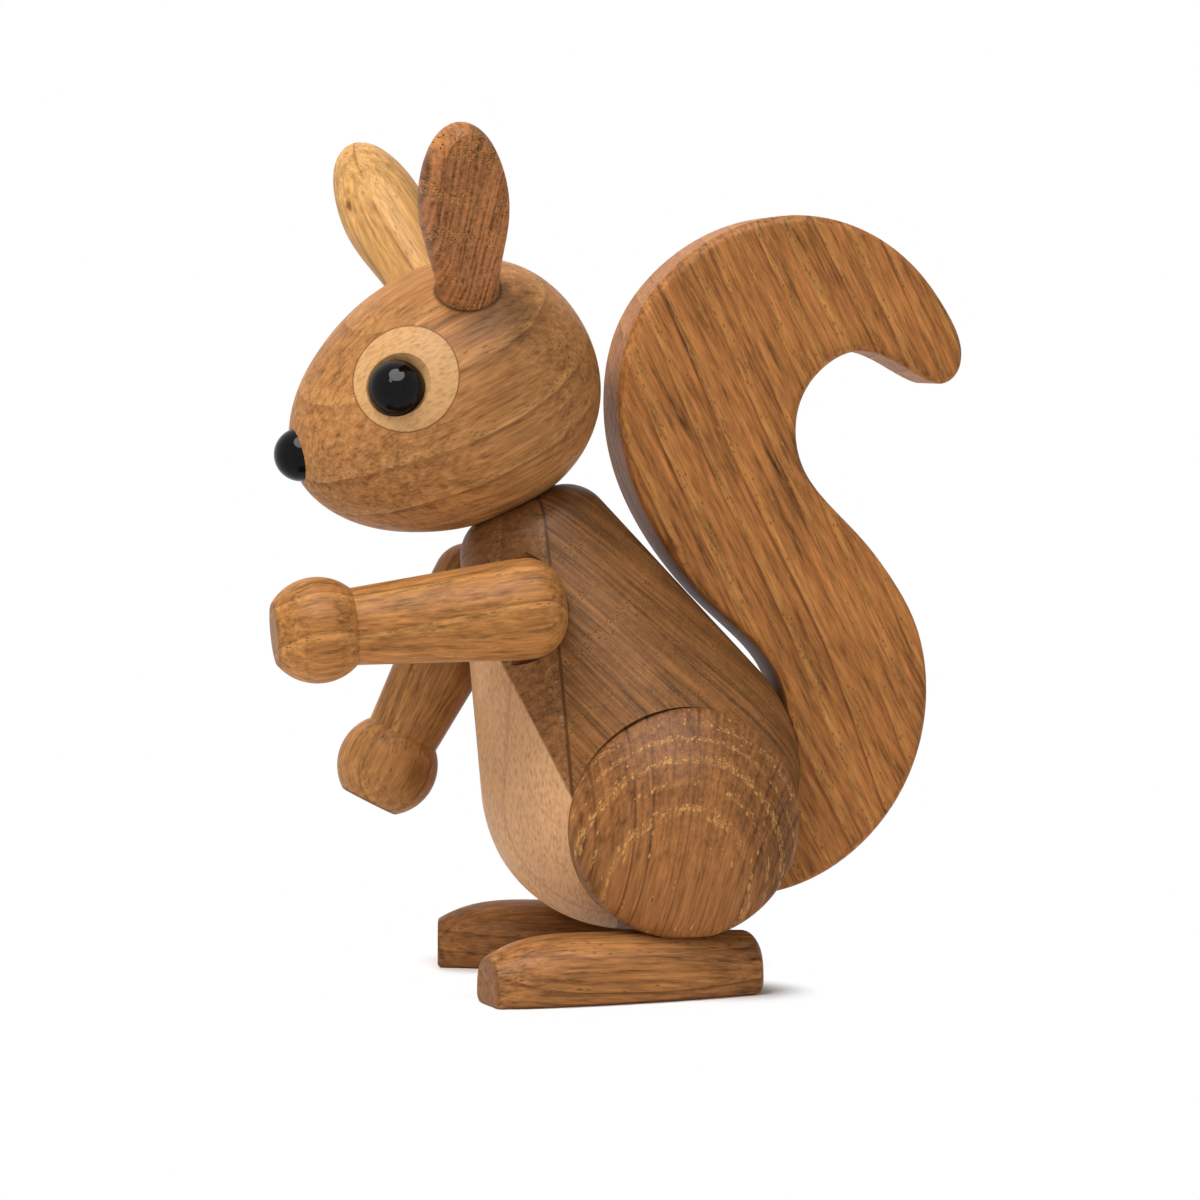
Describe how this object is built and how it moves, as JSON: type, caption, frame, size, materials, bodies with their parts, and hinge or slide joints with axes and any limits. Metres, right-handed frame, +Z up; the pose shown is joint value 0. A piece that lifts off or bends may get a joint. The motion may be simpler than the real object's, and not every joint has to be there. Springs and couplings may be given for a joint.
{
  "type": "wooden squirrel figurine",
  "caption": "Standing turned-wood squirrel ornament with an S-shaped tail, a pale belly, black bead eyes, a head that turns and arms that swing.",
  "frame": {"origin": "on the floor, at the middle of the object's box seen from above", "axes": "+Z up, the squirrel looks along -Y, its left side is +X"},
  "size_m": [0.0611, 0.104, 0.1247],
  "materials": {
    "oak": "oiled oak",
    "dark_oak": "oiled oak, darker board",
    "light_oak": "oiled oak, paler board",
    "maple": "oiled maple",
    "beech": "plain dowel rod",
    "black_bead": "glossy black"
  },
  "bodies": {
    "torso": {"back": "dark_oak", "chest": "dark_oak", "belly": "maple", "tail": "oak", "upper_tail_dowel": "beech", "lower_tail_dowel": "beech", "left_thigh": "oak", "right_thigh": "oak", "left_hip_dowel": "beech", "right_hip_dowel": "beech", "left_foot": "oak", "right_foot": "dark_oak", "left_foot_dowel": "beech", "right_foot_dowel": "beech", "neck_dowel": "beech", "shoulder_dowel": "beech"},
    "head": {"head": "oak", "left_eye_disc": "maple", "right_eye_disc": "maple", "left_eye": "black_bead", "right_eye": "black_bead", "nose": "black_bead", "left_ear": "dark_oak", "right_ear": "light_oak"},
    "left_arm": {"left_arm": "oak"},
    "right_arm": {"right_arm": "dark_oak"}
  },
  "joints": [
    {"name": "head_turn", "type": "hinge", "parent": "torso", "child": "head", "pos_m": [0, -0.01365, 0.07075], "axis": [0, -0.4099, 0.9121], "range_deg": [-96, 84]},
    {"name": "left_arm_swing", "type": "hinge", "parent": "torso", "child": "left_arm", "pos_m": [0.017, -0.0174, 0.056], "axis": [1, 0, 0], "range_deg": [-30, 60.4]},
    {"name": "right_arm_swing", "type": "hinge", "parent": "torso", "child": "right_arm", "pos_m": [-0.017, -0.0174, 0.056], "axis": [1, 0, 0], "range_deg": [-87.4, 3]}
  ]
}
